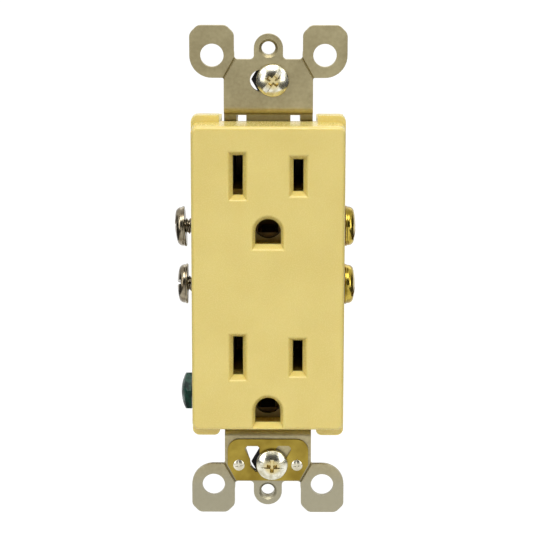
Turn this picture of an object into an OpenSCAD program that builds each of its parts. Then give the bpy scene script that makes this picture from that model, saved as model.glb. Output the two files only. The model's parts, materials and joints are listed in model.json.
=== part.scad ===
// Duplex wall outlet with a rectangular face, 15 A pattern, on a plated steel strap.
// +X is right, +Y goes into the wall and +Z is up. The origin is the centre of the
// two wall-plate holes, on the back face of the strap, which rests on the wall.

/* [Face] */
// Width of the rectangular face
face_w = 32.3; // [31:0.1:32.6]
// Distance from each end of the face to the wall-plate hole beyond it
face_end_in = 15.56; // [15.2:0.02:16.4]
// How far the face stands in front of the strap's back
face_front = 6.8; // [5.5:0.1:8]
// Corner radius of the face
face_corner_r = 1.3; // [0.8:0.1:2]
// Rounding of the face's front edges
face_edge_r = 0.8; // [0.4:0.1:1.2]
// How far the front of the cover's shoulders stands in front of the strap's back
shoulder_front = 0.8; // [0.4:0.1:1.1]
// Depth of the hollows that lighten the cover from behind
cover_core_depth = 4.6; // [2:0.1:5]

/* [Outlets] */
// Distance from the face's top edge down to the upper outlet's slots
outlet_top_in = 10.15; // [9.8:0.05:10.6]
// Distance from the face's bottom edge up to the lower outlet's slots
outlet_foot_in = 16.65; // [16.2:0.05:17]
// Distance between the two blade slots of an outlet
slot_pitch = 12.7; // [12.5:0.1:12.9]
// Width of a blade slot
slot_w = 2.2; // [1.8:0.05:2.4]
// Height of the neutral slot
neutral_slot_h = 8.4; // [7.8:0.1:8.8]
// Height of the hot slot
hot_slot_h = 6.6; // [6.2:0.1:7.4]
// Distance from the blade slots down to the ground hole
ground_drop = 11.9; // [11.7:0.05:12.1]
// Radius of the ground hole's round top
ground_r = 2.62; // [2.4:0.02:2.75]
// Depth of the bevelled lead-in round each slot
lead_in = 0.6; // [0.3:0.05:0.9]

/* [Body] */
// How far the body stands out beyond the face at each side
body_step = 0.15; // [0:0.05:0.5]
// How far the body's shoulders stand above the face
body_top_step = 1.45; // [0.8:0.05:1.5]
// How far the body's shoulders reach below the face
body_foot_step = 2.55; // [2:0.05:3]
// Rear of the body behind the strap's back
body_rear = 21.5; // [21:0.1:24]
// Corner radius of the body
body_corner_r = 1.5; // [0.8:0.1:2.2]
// Half width of the recess at each end of the body
recess_half_w = 10.4; // [10.2:0.1:11]
// Depth of the recess in the body's top end
upper_recess_depth = 4.8; // [4.3:0.1:5.2]
// Depth of the recess in the body's lower end
lower_recess_depth = 1.5; // [0.8:0.1:1.8]
// Running clearance round pieces that drop into the body
body_gap = 0.15; // [0.1:0.05:0.2]

/* [Strap] */
// Sheet thickness of the strap
strap_t = 1.2; // [1:0.05:1.4]
// Inside bend radius of the strap
bend_r = 0.4; // [0.3:0.05:0.5]
// Width of the end plates
plate_w = 18.7; // [18:0.1:19.2]
// Gap between the ends of the face and the bends of the end plates
plate_gap = 3.25; // [3:0.05:3.8]
// How far the ears reach beyond the body at each side
ear_step = 0.2; // [0:0.05:0.8]
// Distance between the inner edges of a pair of ears
ears_gap = 14.4; // [14:0.1:15]
// Distance from the ear holes to the outer edge of the ears
ear_reach = 6.25; // [5.8:0.05:6.8]
// How much nearer the middle the ear holes lie than the wall-plate holes
ear_hole_in = 1.46; // [1:0.02:1.8]
// Outside radius of an ear round its hole
ear_r = 4.7; // [4.4:0.1:5]
// Radius of the ear holes
ear_hole_r = 2.45; // [2:0.05:2.6]
// Cut at the outer corners of an ear
ear_cut = 1.7; // [1:0.1:2.2]
// Distance between the two wall-plate holes
wall_plate_pitch = 96.82; // [96.4:0.01:97.2]
// How far the wall-plate holes lie beyond the end plates
tongue_reach = 2.31; // [1.8:0.01:2.8]
// Outside radius of a wall-plate tongue
tongue_r = 3.05; // [2.8:0.05:3.3]
// Radius of the wall-plate screw holes
wall_plate_hole_r = 1.45; // [1.3:0.05:1.6]
// Distance from a wall-plate hole in to the box screw's slot
box_slot_in = 6.74; // [6.6:0.01:6.9]
// Length of a box screw slot
box_slot_l = 7.7; // [7.2:0.1:8]
// Width of a box screw slot
box_slot_w = 4.6; // [4.2:0.1:4.8]
// Width of the centre strip that runs between cover and body
strip_w = 9.3; // [8.4:0.1:9.4]
// Width of the two legs that clamp the body
leg_w = 2.6; // [2.2:0.1:2.8]
// How far back the legs reach before their hooks
leg_reach = 17; // [14:0.1:17.6]

/* [Terminal screws] */
// Height of the middle between the two terminals of a side
terminal_mid_z = 1.6; // [1.2:0.1:2]
// Distance between the two terminal screws of a side
terminal_pitch = 13.0; // [12.8:0.1:13.4]
// Depth of the terminal screws behind the strap's back
terminal_y = 11.5; // [11:0.1:12]
// Radius of a terminal screw's head
terminal_head_r = 4.4; // [4:0.1:4.6]
// Thickness of a terminal screw's head
terminal_head_h = 2.35; // [2:0.05:2.6]
// Length of a terminal screw's shank
terminal_shank_l = 6.5; // [6:0.1:7]
// Gap under the hot screws' heads
hot_backoff = 0.3; // [0.2:0.05:3]
// Gap under the upper neutral screw's head
neutral_upper_backoff = 1.75; // [0.8:0.05:3]
// Gap under the lower neutral screw's head
neutral_lower_backoff = 1.3; // [0.2:0.05:3]
// Droop of the upper neutral screw in its loose thread, in degrees
neutral_upper_droop = 4; // [0:0.5:4]
// Distance of the ground screw from the body's lower end
ground_screw_in = 6.1; // [5.8:0.1:6.4]
// Distance across the flats of the ground screw's head
ground_head_flats = 7.9; // [7:0.1:8.4]
// Gap under the ground screw's head
ground_backoff = 0.6; // [0.2:0.05:3]
// Radius of the terminal and box screws' threads
thread_r = 1.75; // [1.65:0.01:1.8]
// Radial clearance of a screw in its hole
thread_gap = 0.08; // [0.06:0.01:0.1]

/* [Box screws] */
// Radius of a box screw's head
box_head_r = 3.45; // [3.2:0.05:3.8]
// Thickness of a box screw's head
box_head_h = 1.9; // [1.6:0.1:2.3]
// Length of a box screw's shank
box_shank_l = 24; // [20:0.5:28]
// How far right of centre the box screws lie in their slots
box_screw_x = 0.9; // [0:0.1:1.2]
// How far the lower box screw hangs below the middle of its slot
lower_screw_sag = 0.45; // [0:0.05:0.45]
// Corner radius of the six-sided retaining washers
washer_r = 4.5; // [4.2:0.1:4.6]
// Thickness of the retaining washers
washer_t = 0.8; // [0.5:0.1:1]

/* [Grounding clip] */
// Sheet thickness of the brass clip
clip_t = 0.4; // [0.3:0.05:0.5]
// Width of the brass clip
clip_w = 17.5; // [16.6:0.1:17.8]
// Width of the clip's upper rim, between its edge and its opening
clip_rim = 1.5; // [1:0.1:1.7]
// Radius of the clip's upper corners
clip_corner_r = 2.6; // [1.5:0.1:3]
// Distance between the clip's two rivets
clip_rivet_pitch = 12.6; // [12.4:0.1:12.8]
// Radius of the rivets' heads
clip_rivet_r = 1.25; // [1:0.05:1.3]

/* [Contacts] */
// Sheet thickness of the two buses
bus_t = 0.9; // [0.8:0.05:1]
// Thickness of the contact leaves
leaf_t = 0.5; // [0.4:0.05:0.55]
// Gap between two blade leaves at their tightest
blade_grip = 1.2; // [1:0.1:1.4]
// Gap between the two ground leaves at their tightest
ground_grip = 4.3; // [4.25:0.05:4.4]
// Length of the ground leaves
ground_leaf_l = 9.4; // [8:0.1:10]
// Distance of the push-in wire holes from the body's side
wire_hole_in = 4.1; // [3.9:0.1:4.3]
// Radius of the push-in wire holes
wire_hole_r = 1.15; // [1:0.05:1.3]
// Sheet thickness of the push-in spring clips
spring_t = 0.35; // [0.25:0.05:0.4]

/* [Hidden] */
$fn = 64;

cut = 1;                                      // how far a cutter runs past a face
clear_z = 60;                                 // beyond both ends of the device
tongue_z = wall_plate_pitch / 2;
face_h = wall_plate_pitch - 2 * face_end_in;
upper_outlet_z = face_h / 2 - outlet_top_in;
lower_outlet_z = -face_h / 2 + outlet_foot_in;
outlet_zs = [upper_outlet_z, lower_outlet_z];
ground_zs = [for (z = outlet_zs) z - ground_drop];
slot_x = slot_pitch / 2;
ground_flat = ground_r - 0.04;                // the ground hole's flat below its centre
strip_hole_r = ground_r + 0.6;                // the strap's hole for the same pin
ground_bevel = lead_in * 0.7;

// Sheet of the strap: the end plates lie at y = -strap_t..0, the strip further back.
body_w = face_w + 2 * body_step;
body_half_w = body_w / 2;
body_top = face_h / 2 + body_top_step;
body_bottom = face_h / 2 + body_foot_step;
plate_half_w = plate_w / 2;
plate_bend_z = face_h / 2 + plate_gap;
plate_edge_z = tongue_z - tongue_reach;
strip_front = 2 * bend_r + 0.1;
strip_back = strip_front + strap_t;
strip_half_w = strip_w / 2;
strip_top_z = plate_bend_z - 2 * bend_r - strap_t;
leg_out_x = plate_half_w;
leg_in_x = plate_half_w - leg_w;
leg_bend_z = strip_top_z - 0.6;
leg_under_z = leg_bend_z - bend_r - strap_t;
hook_front = leg_reach + bend_r;
hook_back = hook_front + strap_t;
hook_end_z = leg_under_z - 2;
ear_in_x = ears_gap / 2;
ear_out_x = body_half_w + ear_step;
ear_hole_x = ear_out_x - ear_r;
ear_hole_z = tongue_z - ear_hole_in;
ear_root_z = ear_hole_z - ear_r;
ear_edge_z = ear_hole_z + ear_reach;
box_slot_z = tongue_z - box_slot_in;
root_fillet = 0.8;
score_w = 0.35;
collar_r = 2.2;                               // drawn collar behind a wall-plate hole
collar_l = 1.3;
collar_dish = 0.5;                            // rounding at the collar's mouth

// Ground terminal: a wing of the strap, folded back along the body's left side.
ground_screw_z = ground_screw_in - body_bottom;
wing_half_h = 3.6;
wing_out_x = body_half_w;
wing_in_x = wing_out_x - strap_t;
wing_behind = 4.7;                            // how far the wing reaches behind its screw
wing_rear = terminal_y + wing_behind;
wing_pocket_in = 5.6;                         // depth of the pocket behind the wing

// Terminals and buses
parting_y = strip_front;                      // cover and body meet here
pad_half_h = 5.1;
pad_before = 5.5;
bus_behind = 6;
pad_front = terminal_y - pad_before;
bus_rear = terminal_y + bus_behind;
pad_in_x = body_half_w - bus_t;
flange_front = bus_rear - bus_t;
terminal_zs = [terminal_mid_z + terminal_pitch / 2, terminal_mid_z - terminal_pitch / 2];
thread_hole_r = thread_r + thread_gap;
leaf_half_h = 3.6;
leaf_mouth = 3.2;                             // depth where the blade leaves open
leaf_pinch = 5.2;                             // depth where they are tightest
blade_bed_half_h = leaf_half_h + 0.7;         // half height of the flange under the leaves
flange_end = 4.1;                             // flange's end from the terminal's height
fit_gap = 0.1;
rivet_gap = 0.02;
body_edge = 0.8;
wire_drop = 2.5;                              // wire hole's distance from the slots' height
wire_tab_w = 5.2;
release_w = 3.4;                              // slot that frees a pushed-in wire
release_h = 1.2;
gauge_l = 14;
gauge_w = 2.4;
gauge_depth = 0.5;
gauge_z = (upper_outlet_z + lower_outlet_z) / 2;
upper_recess_z = body_top - upper_recess_depth;
lower_recess_z = body_bottom - lower_recess_depth;
tab_reach = wire_drop + 0.8;                  // the wire lies on the tab there
chamber_rear = bus_rear + 1;
wire_hole_x = body_half_w - wire_hole_in;
chamber_in_x = slot_x - 1.45;
pocket_in_x = wire_hole_x - wire_tab_w / 2 - 0.8;
chamber_mid_x = pocket_in_x + 1.6;
side_wall = 1;
spring_seat = 1.7;                            // spring clip's seat beyond the slots' height
spring_w = 4.4;
spring_lift = 0.6;                            // clearance at the spring's fold and tip
spring_tip_y = pad_front + 2;
ground_base_half_w = 3.8;
ground_base_down = 3.6;
ground_leaf_half_h = 1.9;
ground_flare = 0.4;                           // how far the leaves' tips open
ground_flare_l = 2;
ground_chamber_rear = strip_back + ground_leaf_l + 3;
contact_rivet_up = 5.3;
ground_base_up = contact_rivet_up + 1.5;
contact_rivet_r = 0.85;
contact_rivet_head_r = 1.4;
body_rivet_r = 1.5;
body_rivet_bore_r = 1;
body_rivet_head_r = 2.6;
body_rivet_head_h = 1.2;
body_rivet_tip = 4.5;

// Screws
terminal_dome_r = 11;
box_dome_r = 6.5;
drive_w = 1;
drive_depth = 0.85;
drive_cross = 3.4;                            // length of the cross recess
cross_w = 0.9;
brass_tint = [0.84, 0.68, 0.26];
nickel_tint = [0.74, 0.72, 0.66];

// Box screws and the clip
upper_screw_z = box_slot_z + 0.1;
lower_screw_z = -box_slot_z - lower_screw_sag;
seat_gap = 0.15;
upper_head_seat = strap_t + seat_gap;
lower_head_seat = strap_t + clip_t + seat_gap;
washer_front = 0.1;
clip_front = strap_t + clip_t;
clip_bottom_z = plate_edge_z - 0.2;
clip_cut_w = 1.85;
clip_cut_h = 3.6;
clip_lobe_up = 3.67;                          // the opening's top above the slot's middle
clip_lobe_z = box_slot_z - clip_lobe_up;
clip_top_z = clip_lobe_z - clip_rim;
clip_lobe_x = 5;
clip_lobe_cut = 0.5;
clip_tongue_root_z = clip_lobe_z + 0.6;
clip_rivet_z = box_slot_z + 0.7;
clip_tongue_half_w = 1.8;
clip_rivet_hole_r = 0.82;
clip_rivet_h = 0.45;

// ---- flat shapes and small helpers ----

// Box between two opposite corners, in any order
module box(a, b) {
    low = [for (i = [0:2]) min(a[i], b[i])];
    high = [for (i = [0:2]) max(a[i], b[i])];
    translate(low) cube(high - low);
}

// Flat outline in X and Z, given depth from y0 to y1
module plate_at(y0, y1) {
    translate([0, y1, 0]) rotate([90, 0, 0]) linear_extrude(y1 - y0) children();
}

// Side profile in Y and Z, given width from x0 to x1
module across(x0, x1) {
    translate([x0, 0, 0]) rotate([90, 0, 90]) linear_extrude(x1 - x0) children();
}

// Plan profile in X and Y, given height from z0 to z1
module upright(z0, z1) {
    translate([0, 0, min(z0, z1)]) linear_extrude(abs(z1 - z0)) children();
}

module rounded_rect(w, h, r) {
    square([w - 2 * r, h], center = true);
    square([w, h - 2 * r], center = true);
    for (x = [-1, 1], z = [-1, 1])
        translate([x * (w / 2 - r), z * (h / 2 - r)]) circle(r);
}

module long_slot(l, w) {
    square([l - w, w], center = true);
    for (x = [-1, 1]) translate([x * (l - w) / 2, 0]) circle(w / 2);
}

// Quarter ring of sheet round a bend's centre, in the quadrant given by two signs
module bend(centre, side_y, side_z, t = strap_t) {
    translate(centre) intersection() {
        difference() {
            circle(bend_r + t);
            circle(bend_r);
        }
        scale_y = side_y * (bend_r + t);
        scale_z = side_z * (bend_r + t);
        polygon([[0, 0], [scale_y, 0], [scale_y, scale_z], [0, scale_z]]);
    }
}

// Inside corner of an outline, filled to a radius
module corner_fill(at, side_x, side_z, r) {
    translate(at) difference() {
        polygon([[0, 0], [side_x * r, 0], [side_x * r, side_z * r], [0, side_z * r]]);
        translate([side_x * r, side_z * r]) circle(r);
    }
}

module hole_y(x, z, r, y0, y1) {
    translate([x, y1, z]) rotate([90, 0, 0]) cylinder(r = r, h = y1 - y0);
}

// ---- front cover ----

module face_block() {
    depth = face_front + parting_y;
    mid_y = (parting_y - face_front) / 2;
    intersection() {
        plate_at(-face_front, parting_y) rounded_rect(face_w, face_h, face_corner_r);
        upright(-face_h / 2, face_h / 2) front_rounded(face_w, depth, mid_y);
        across(-face_w / 2, face_w / 2) rotate(-90) mirror([1, 0])
            front_rounded(face_h, depth, mid_y);
    }
}

// Rectangle in plan whose two front corners are rounded
module front_rounded(w, depth, mid_y) {
    translate([0, mid_y + face_edge_r / 2])
        square([w, depth - face_edge_r], center = true);
    translate([0, mid_y]) square([w - 2 * face_edge_r, depth], center = true);
    for (x = [-1, 1])
        translate([x * (w / 2 - face_edge_r), mid_y - depth / 2 + face_edge_r])
            circle(face_edge_r);
}

module end_outline(top, bottom) {
    translate([0, (top - bottom) / 2])
        rounded_rect(body_w, top + bottom, body_corner_r);
}

module recess_cut(y0, y1, top_floor, bottom_floor) {
    for (end = [[top_floor, clear_z], [-clear_z, -bottom_floor]])
        box([-recess_half_w, y0, end[0]], [recess_half_w, y1, end[1]]);
}

// Blade slot with four bevelled sides at its mouth
module blade_slot(x, z, w, h) {
    box([x - w / 2, -face_front - cut, z - h / 2], [x + w / 2, parting_y + cut, z + h / 2]);
    translate([x, -face_front, z]) intersection() {
        upright(-h / 2 - lead_in, h / 2 + lead_in) lead_profile(w);
        across(-w / 2 - lead_in, w / 2 + lead_in) rotate(-90) mirror([1, 0]) lead_profile(h);
    }
}

module lead_profile(w) {
    polygon([
        [-w / 2 - lead_in, 0], [w / 2 + lead_in, 0],
        [w / 2, lead_in], [-w / 2, lead_in]
    ]);
}

// Half-round ground hole, flat at its foot, with a bevelled mouth
module ground_hole(z) {
    bevel = ground_bevel;
    mouth_r = ground_r + bevel;
    plate_at(-face_front - cut, parting_y + cut) translate([0, z]) {
        circle(ground_r);
        translate([0, -ground_flat / 2]) square([2 * ground_r, ground_flat], center = true);
    }
    intersection() {
        translate([0, -face_front, z]) rotate([-90, 0, 0])
            cylinder(r1 = mouth_r, r2 = ground_r, h = bevel);
        box([-mouth_r - cut, -face_front - cut, z], [mouth_r + cut, parting_y, z + mouth_r + cut]);
    }
    translate([0, -face_front, z]) intersection() {
        upright(-ground_flat - bevel, 0) polygon([
            [-mouth_r, 0], [mouth_r, 0], [ground_r, bevel], [-ground_r, bevel]
        ]);
        across(-mouth_r, mouth_r) polygon([
            [0, -ground_flat - bevel], [0, 0], [bevel, 0], [bevel, -ground_flat]
        ]);
    }
}

// Hollows behind the face, beside the slots, that keep the moulding's walls even
module cover_cores() {
    core_y = parting_y - cover_core_depth;
    for (z = outlet_zs, side = [-1, 1])
        box([side * (slot_x + slot_w / 2 + 1.6), core_y, z - neutral_slot_h / 2],
            [side * (face_w / 2 - 2), parting_y + cut, z + neutral_slot_h / 2]);
    for (side = [-1, 1])
        box([side * (ground_r + 2.2), core_y, upper_outlet_z - neutral_slot_h - 1],
            [side * (face_w / 2 - 2), parting_y + cut, lower_outlet_z + neutral_slot_h + 1]);
}

module front_cover() {
    color([0.87, 0.80, 0.49]) difference() {
        union() {
            face_block();
            difference() {
                plate_at(-shoulder_front, parting_y) end_outline(body_top, body_bottom);
                recess_cut(-shoulder_front - cut, parting_y + cut, face_h / 2, face_h / 2);
            }
        }
        for (z = outlet_zs) {
            blade_slot(-slot_x, z, slot_w, neutral_slot_h);
            blade_slot(slot_x, z, slot_w, hot_slot_h);
            hole_y(0, z, body_rivet_r + rivet_gap, -body_rivet_tip - fit_gap, parting_y + cut);
        }
        for (z = ground_zs) ground_hole(z);
        cover_cores();
    }
}

// ---- back body ----

module body_shell() {
    edge = body_edge;
    intersection() {
        plate_at(parting_y, body_rear) end_outline(body_top, body_bottom);
        across(-body_half_w, body_half_w) polygon([
            [parting_y, -body_bottom], [body_rear - edge, -body_bottom],
            [body_rear, -body_bottom + edge], [body_rear, body_top - edge],
            [body_rear - edge, body_top], [parting_y, body_top]
        ]);
        upright(-body_bottom, body_top) polygon([
            [-body_half_w, parting_y], [-body_half_w, body_rear - edge],
            [-body_half_w + edge, body_rear], [body_half_w - edge, body_rear],
            [body_half_w, body_rear - edge], [body_half_w, parting_y]
        ]);
    }
}

// Lug that a leg lies on and hooks behind, with the corner cut for the leg's bend
module leg_lug(floor_z) {
    polygon([
        [strip_back + bend_r, floor_z], [strip_back + bend_r, leg_under_z],
        [leg_reach, leg_under_z], [hook_front, leg_under_z - bend_r], [hook_front, floor_z]
    ]);
}

// Space for a leg where the body's end wall lies outside it
module leg_way() {
    polygon([
        [parting_y - cut, leg_under_z - 0.1], [strip_back, leg_under_z - 0.1],
        [strip_back + bend_r, leg_under_z], [leg_reach, leg_under_z],
        [hook_front, leg_under_z - bend_r], [hook_front, hook_end_z - body_gap],
        [hook_back + body_gap, hook_end_z - body_gap], [hook_back + body_gap, clear_z],
        [parting_y - cut, clear_z]
    ]);
}

// Chambers of one side for one outlet; out is +1 above the middle and -1 below it
module contact_chambers(outlet_z, terminal_z, out) {
    box([chamber_in_x, parting_y - cut, outlet_z - out * (blade_bed_half_h + body_gap)],
        [chamber_mid_x, chamber_rear, outlet_z + out * (blade_bed_half_h + 1)]);
    box([pocket_in_x, parting_y - cut, terminal_z - out * (flange_end + 2 * body_gap)],
        [body_half_w - side_wall, chamber_rear, outlet_z + out * spring_seat]);
}

module side_cuts() {
    for (i = [0, 1]) {
        out = 1 - 2 * i;
        contact_chambers(outlet_zs[i], terminal_zs[i], out);
        hole_y(wire_hole_x, outlet_zs[i] - out * wire_drop, wire_hole_r,
               chamber_rear - cut, body_rear + cut);
        box([wire_hole_x - release_w / 2, chamber_rear - cut, outlet_zs[i] + out * 0.2],
            [wire_hole_x + release_w / 2, body_rear + cut, outlet_zs[i] + out * (0.2 + release_h)]);
    }
    box([body_half_w - side_wall - cut, pad_front - body_gap, terminal_zs[1] - pad_half_h - body_gap],
        [body_half_w + cut, bus_rear + body_gap, terminal_zs[0] + pad_half_h + body_gap]);
}

module back_body() {
    color([0.86, 0.79, 0.50]) difference() {
        union() {
            difference() {
                body_shell();
                recess_cut(parting_y - cut, body_rear + cut, upper_recess_z, lower_recess_z);
            }
            for (side = [0, 1]) mirror([side, 0, 0])
                across(leg_in_x, leg_out_x) leg_lug(upper_recess_z - 0.5);
        }
        // bed of the strip and of the ground terminal's wing
        box([-strip_half_w - fit_gap, parting_y - cut, -clear_z],
            [strip_half_w + fit_gap, strip_back, clear_z]);
        box([-wing_out_x - cut, parting_y - cut, ground_screw_z - wing_half_h - body_gap],
            [0, strip_back, ground_screw_z + wing_half_h + body_gap]);
        box([-wing_out_x - cut, parting_y - cut, ground_screw_z - wing_half_h - body_gap],
            [-body_half_w + wing_pocket_in, wing_rear + body_gap, ground_screw_z + wing_half_h + body_gap]);
        for (side = [0, 1]) mirror([side, 0, 0]) {
            side_cuts();
            mirror([0, 0, 1]) across(leg_in_x - body_gap, leg_out_x + body_gap) leg_way();
        }
        for (z = ground_zs)
            box([-ground_base_half_w - 2 * body_gap, parting_y, z - ground_base_down - 2 * body_gap],
                [ground_base_half_w + 2 * body_gap, ground_chamber_rear,
                 z + ground_base_up + 2 * body_gap]);
        for (z = outlet_zs) {
            hole_y(0, z, body_rivet_r + rivet_gap, parting_y - cut, body_rear + cut);
            hole_y(0, z, body_rivet_head_r + body_gap, body_rear - body_rivet_head_h, body_rear + cut);
        }
        // shallow gauge for stripping wire ends, moulded in the back
        plate_at(body_rear - gauge_depth, body_rear + cut) translate([0, gauge_z])
            long_slot(gauge_l, gauge_w);
    }
}

// ---- strap ----

module plate_outline() {
    difference() {
        union() {
            translate([-plate_half_w, plate_bend_z]) square([plate_w, plate_edge_z - plate_bend_z]);
            translate([-tongue_r, plate_edge_z - 1]) square([2 * tongue_r, tongue_z - plate_edge_z + 1]);
            translate([0, tongue_z]) circle(tongue_r);
            for (side = [-1, 1]) {
                ear_outline(side);
                corner_fill([side * tongue_r, plate_edge_z], side, 1, root_fillet);
                corner_fill([side * ear_in_x, plate_edge_z], -side, 1, root_fillet);
                corner_fill([side * plate_half_w, ear_root_z], side, -1, root_fillet / 2);
            }
        }
        translate([0, tongue_z]) circle(wall_plate_hole_r);
        for (side = [-1, 1]) translate([side * ear_hole_x, ear_hole_z]) circle(ear_hole_r);
        translate([0, box_slot_z]) long_slot(box_slot_l, box_slot_w);
    }
}

module ear_outline(side) {
    translate([side * ear_hole_x, ear_hole_z]) circle(ear_r);
    polygon([
        [side * ear_in_x, ear_root_z], [side * ear_in_x, ear_edge_z - ear_cut],
        [side * (ear_in_x + ear_cut), ear_edge_z], [side * (ear_out_x - ear_cut), ear_edge_z],
        [side * ear_out_x, ear_edge_z - ear_cut], [side * ear_out_x, ear_hole_z],
        [side * ear_hole_x, ear_hole_z], [side * ear_hole_x, ear_root_z]
    ]);
}

// Groove along which an ear breaks off
module score(side) {
    run_x = plate_half_w - ear_in_x;
    run_z = plate_edge_z - ear_root_z;
    run = norm([run_x, run_z]);
    translate([side * plate_half_w, -strap_t, ear_root_z])
        rotate([0, -side * atan(run_x / run_z), 0]) translate([0, 0, run / 2])
            rotate([0, 0, 45]) cube([score_w, score_w, run + 2 * cut], center = true);
}

// Side profile of the joggle from an end plate back to the strip
module joggle_profile() {
    bend([bend_r, plate_bend_z], -1, -1);
    translate([bend_r, plate_bend_z - bend_r - strap_t]) square([0.1, strap_t]);
    bend([bend_r + 0.1, strip_top_z], 1, 1);
}

module leg_profile() {
    joggle_profile();
    translate([strip_front, leg_bend_z]) square([strap_t, strip_top_z - leg_bend_z]);
    bend([strip_back + bend_r, leg_bend_z], -1, -1);
    translate([strip_back + bend_r, leg_under_z])
        square([leg_reach - strip_back - bend_r, strap_t]);
    bend([leg_reach, leg_under_z - bend_r], 1, 1);
    translate([hook_front, hook_end_z]) square([strap_t, leg_under_z - bend_r - hook_end_z]);
}

module strap_end() {
    difference() {
        union() {
            plate_at(-strap_t, 0) plate_outline();
            hole_y(0, tongue_z, collar_r, -strap_t / 2, collar_l);
        }
        hole_y(0, tongue_z, wall_plate_hole_r, -strap_t - cut, collar_l + cut);
        translate([0, -strap_t, tongue_z]) rotate([-90, 0, 0])
            cylinder(r1 = wall_plate_hole_r + collar_dish, r2 = wall_plate_hole_r, h = collar_dish);
        for (side = [-1, 1]) score(side);
    }
    across(-strip_half_w, strip_half_w) joggle_profile();
    for (side = [0, 1]) mirror([side, 0, 0]) across(leg_in_x, leg_out_x) leg_profile();
}

module ground_wing() {
    z0 = ground_screw_z - wing_half_h;
    z1 = ground_screw_z + wing_half_h;
    difference() {
        union() {
            box([-wing_in_x + bend_r, strip_front, z0], [-strip_half_w + cut, strip_back, z1]);
            upright(z0, z1) bend([-wing_in_x + bend_r, strip_back + bend_r], -1, -1);
            box([-wing_out_x, strip_back + bend_r, z0], [-wing_in_x, wing_rear, z1]);
        }
        translate([-wing_out_x - cut, terminal_y, ground_screw_z]) rotate([0, 90, 0])
            cylinder(r = thread_hole_r, h = strap_t + 2 * cut);
    }
}

module strap() {
    color([0.65, 0.62, 0.52]) difference() {
        union() {
            strap_end();
            mirror([0, 0, 1]) strap_end();
            box([-strip_half_w, strip_front, -strip_top_z], [strip_half_w, strip_back, strip_top_z]);
            ground_wing();
        }
        for (z = outlet_zs) hole_y(0, z, body_rivet_r + rivet_gap, strip_front - cut, strip_back + cut);
        for (z = ground_zs) {
            hole_y(0, z, strip_hole_r, strip_front - cut, strip_back + cut);
            hole_y(0, z + contact_rivet_up, contact_rivet_r + rivet_gap,
                   strip_front - cut, strip_back + cut);
        }
        for (side = [-1, 1])
            hole_y(side * clip_rivet_pitch / 2, -clip_rivet_z, clip_rivet_hole_r, -strap_t - cut, cut);
        // the lower slot widens to the upper left, below the clip's left lobe
        plate_at(-strap_t - cut, cut) polygon([
            [-clip_tongue_half_w, -clip_lobe_z - 0.2], [-clip_lobe_x + clip_lobe_cut, -clip_lobe_z - 0.2],
            [-clip_lobe_x + 0.2, -clip_lobe_z - clip_lobe_cut - 0.2], [-box_slot_l / 2, -box_slot_z],
            [-clip_tongue_half_w, -box_slot_z]
        ]);
    }
}

// ---- grounding clip ----

module clip_outline() {
    half = clip_w / 2;
    cut_x = half - clip_cut_w;
    lobe_low_z = -clip_lobe_z - clip_lobe_cut;
    slot_half = box_slot_l / 2;
    slot_low_z = -box_slot_z - box_slot_w / 2 + fit_gap;
    difference() {
        union() {
            translate([0, -(clip_top_z + clip_bottom_z) / 2])
                rounded_rect(clip_w, clip_bottom_z - clip_top_z, clip_corner_r);
            translate([-half, -clip_bottom_z]) square([clip_w, clip_corner_r + fit_gap]);
        }
        for (side = [-1, 1]) {
            polygon([
                [side * (half + cut), -clip_bottom_z + (clip_cut_w + cut) * clip_cut_h / clip_cut_w],
                [side * (half + cut), -clip_bottom_z - cut],
                [side * cut_x, -clip_bottom_z - cut], [side * cut_x, -clip_bottom_z]
            ]);
            polygon([
                [side * clip_tongue_half_w, lobe_low_z],
                [side * (clip_tongue_half_w + clip_lobe_cut), -clip_lobe_z],
                [side * (clip_lobe_x - clip_lobe_cut), -clip_lobe_z],
                [side * clip_lobe_x, lobe_low_z], [side * clip_lobe_x, lobe_low_z - clip_lobe_cut],
                [side * slot_half, -box_slot_z + 0.7], [side * slot_half, -box_slot_z - 1],
                [side * (slot_half - 1.2), slot_low_z], [0, slot_low_z], [0, -clip_tongue_root_z],
                [side * clip_tongue_half_w, -clip_tongue_root_z]
            ]);
            translate([side * clip_rivet_pitch / 2, -clip_rivet_z]) circle(clip_rivet_hole_r);
        }
        translate([-clip_tongue_half_w - fit_gap, -box_slot_z])
            square([2 * (clip_tongue_half_w + fit_gap), box_slot_z - clip_tongue_root_z]);
    }
}

// Tongue that turns into the slot and presses on the screw
module clip_tongue() {
    root_z = -clip_tongue_root_z + fit_gap;
    turn_z = -box_slot_z + box_slot_w / 2 - 0.1;
    tip_z = lower_screw_z + thread_r + 0.15;
    across(-clip_tongue_half_w, clip_tongue_half_w) polygon([
        [-clip_front, root_z], [-clip_front, turn_z - clip_t], [-0.25, tip_z],
        [-0.05, tip_z + clip_t], [-strap_t, turn_z], [-strap_t, root_z]
    ]);
}

module ground_clip() {
    color([0.72, 0.58, 0.22]) {
        plate_at(-clip_front, -strap_t) clip_outline();
        clip_tongue();
    }
}

module clip_rivets() {
    color([0.85, 0.84, 0.78]) for (side = [-1, 1])
        translate([side * clip_rivet_pitch / 2, 0, -clip_rivet_z]) {
            hole_y(0, 0, clip_rivet_hole_r - rivet_gap, -clip_front, 0);
            difference() {
                hole_y(0, 0, clip_rivet_r, -clip_front - clip_rivet_h, -clip_front);
                for (turn = [0, 90]) rotate([0, turn, 0])
                    box([-0.15, -clip_front - cut, -0.75], [0.15, -clip_front - clip_rivet_h / 2, 0.75]);
            }
        }
}

// ---- buses and contacts ----

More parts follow.
